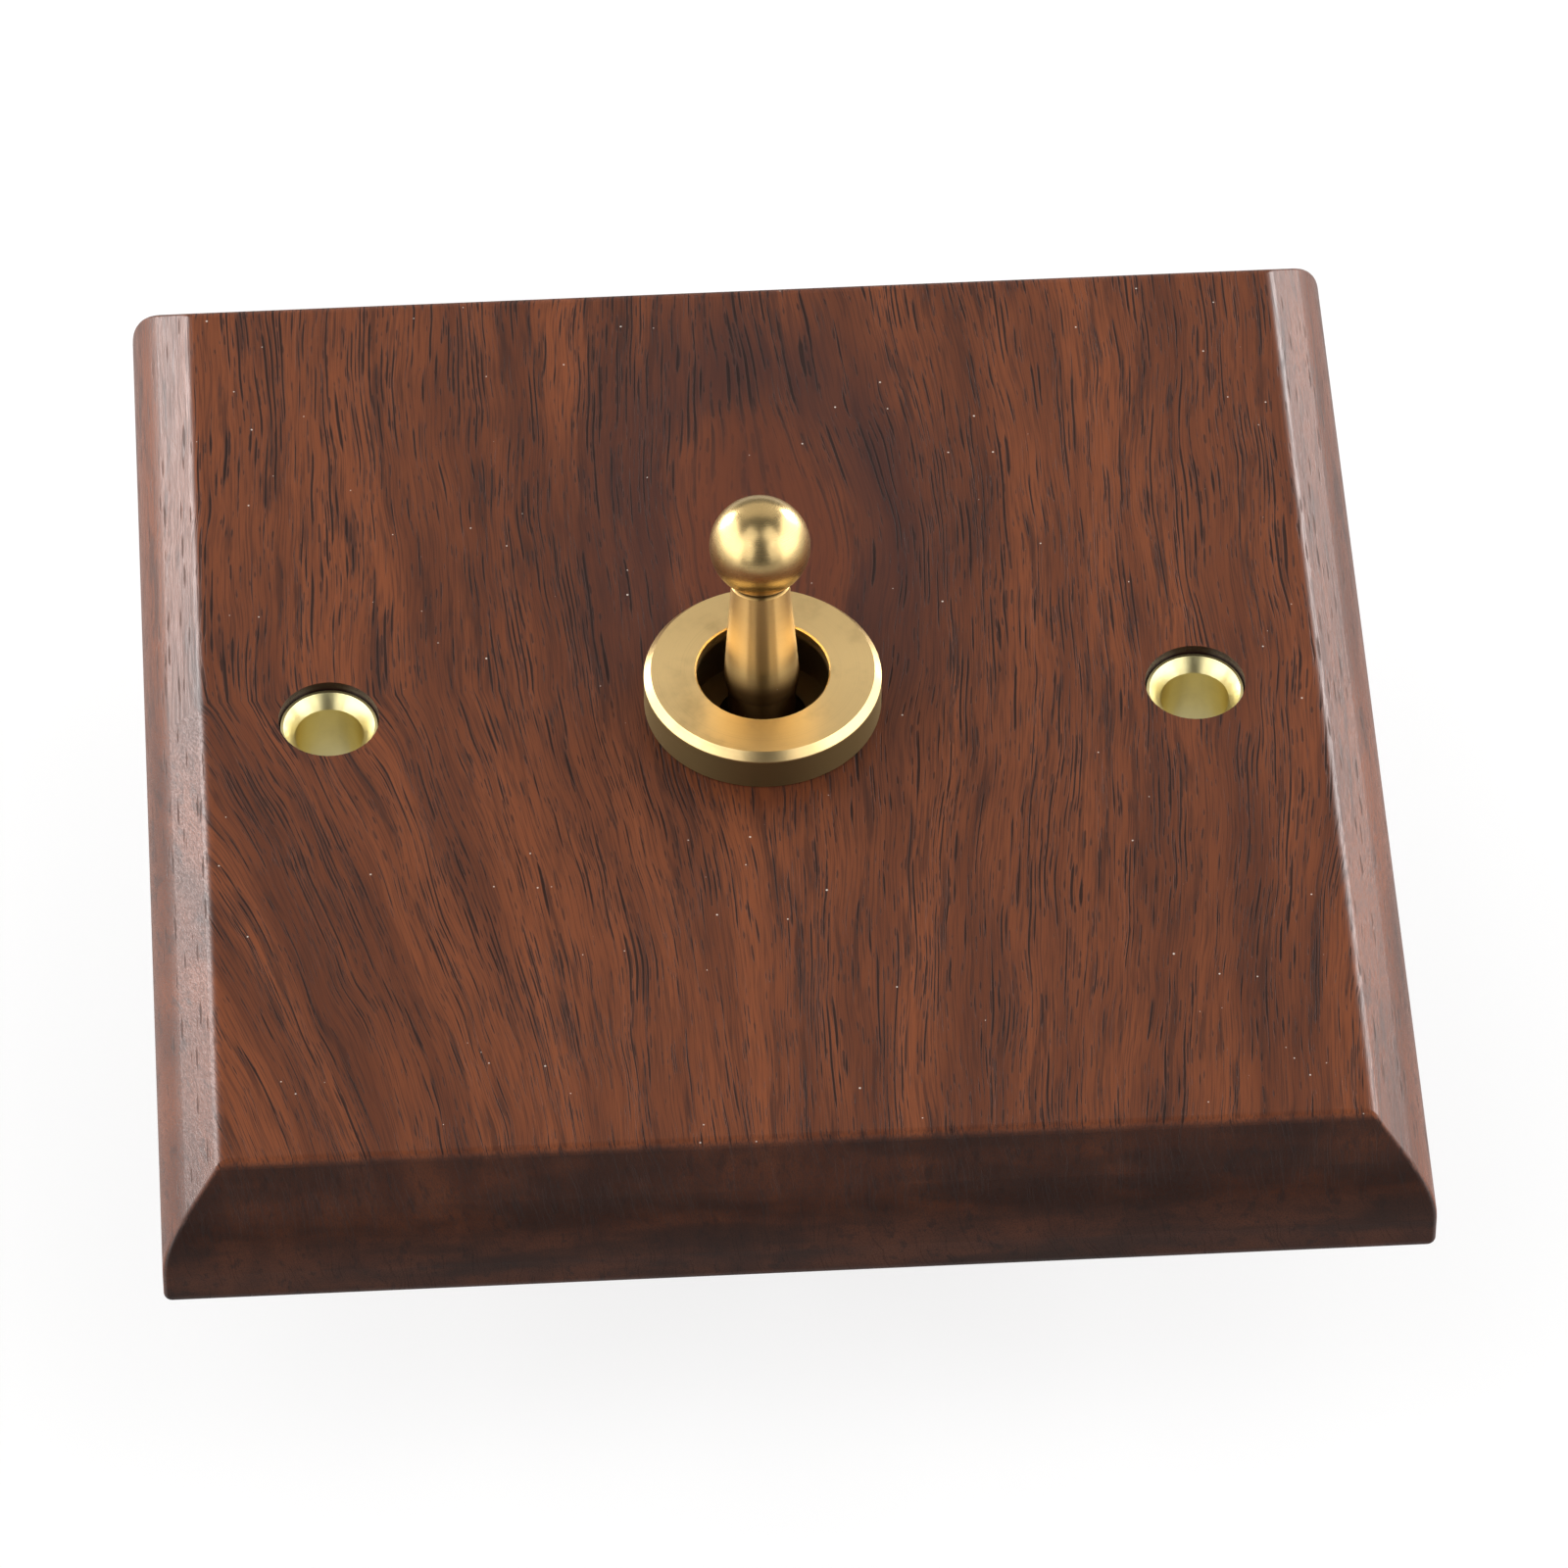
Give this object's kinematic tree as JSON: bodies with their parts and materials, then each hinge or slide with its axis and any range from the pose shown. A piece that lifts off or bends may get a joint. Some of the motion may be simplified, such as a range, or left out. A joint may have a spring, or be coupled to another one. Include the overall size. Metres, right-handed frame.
{
  "type": "toggle wall switch",
  "caption": "Two-way toggle wall switch: square bevelled walnut faceplate, brass ring nut, tapered brass lever with a ball end, and a switch body with screw terminals behind.",
  "frame": {"origin": "centre of the faceplate's back face, where it meets the wall, midway between the two screw holes", "axes": "+Z out of the wall towards the user, +Y up the wall, +X to the user's right"},
  "size_m": [0.086, 0.089, 0.0463],
  "materials": {
    "walnut": "oiled walnut, satin",
    "polished_brass": "polished",
    "satin_brass": "satin turned",
    "lever_brass": "polished turned",
    "bushing_brass": "machined",
    "nut_brass": "machined",
    "terminal_brass": "stamped",
    "tinned_brass": "tinned, dull",
    "bright_steel": "ground",
    "zinc_steel": "zinc plated",
    "screw_steel": "nickel plated",
    "spring_steel": "drawn wire",
    "contact_silver": "silver rivet",
    "fibre_sheet": "vulcanised fibre sheet",
    "phenolic": "moulded phenolic",
    "plunger_nylon": "natural nylon"
  },
  "bodies": {
    "plate_and_switch": {"wood_faceplate": "walnut", "left_screw_ferrule": "polished_brass", "right_screw_ferrule": "polished_brass", "bezel_ring_nut": "satin_brass", "threaded_bushing": "bushing_brass", "pivot_pin": "bright_steel", "locating_ring": "zinc_steel", "lock_washer": "bright_steel", "earth_tag": "tinned_brass", "back_hex_nut": "nut_brass", "switch_frame": "zinc_steel", "top_insulator": "fibre_sheet", "switch_housing": "phenolic", "terminal_base": "phenolic", "common_terminal": "terminal_brass", "upper_terminal": "terminal_brass", "lower_terminal": "terminal_brass", "upper_fixed_contact": "contact_silver", "lower_fixed_contact": "contact_silver", "terminal_screws": "screw_steel", "clamp_washers": "zinc_steel"},
    "lever": {"toggle_lever": "lever_brass", "ball_knob": "lever_brass", "plunger_spring": "spring_steel"},
    "plunger": {"lever_plunger": "plunger_nylon"},
    "rocker": {"contact_rocker": "terminal_brass", "moving_contacts": "contact_silver"}
  },
  "joints": [
    {"name": "lever_tilt", "type": "hinge", "parent": "plate_and_switch", "child": "lever", "pos_m": [0, 0, 0.0054], "axis": [1, 0, 0], "range_deg": [0, 24]},
    {"name": "rocker_swing", "type": "hinge", "parent": "plate_and_switch", "child": "rocker", "pos_m": [0, 0, -0.00708], "axis": [1, 0, 0], "range_deg": [-18, 0]},
    {"name": "plunger_slide", "type": "slide", "parent": "lever", "child": "plunger", "axis": [0, 0.2079, 0.9781], "range_m": [0, 0.0008], "stiffness_N_per_m": 40, "deforming": ["plunger_spring"]}
  ],
  "couplings": [
    {"joint": "rocker_swing", "follows": "lever_tilt", "ratio": -0.75}
  ]
}
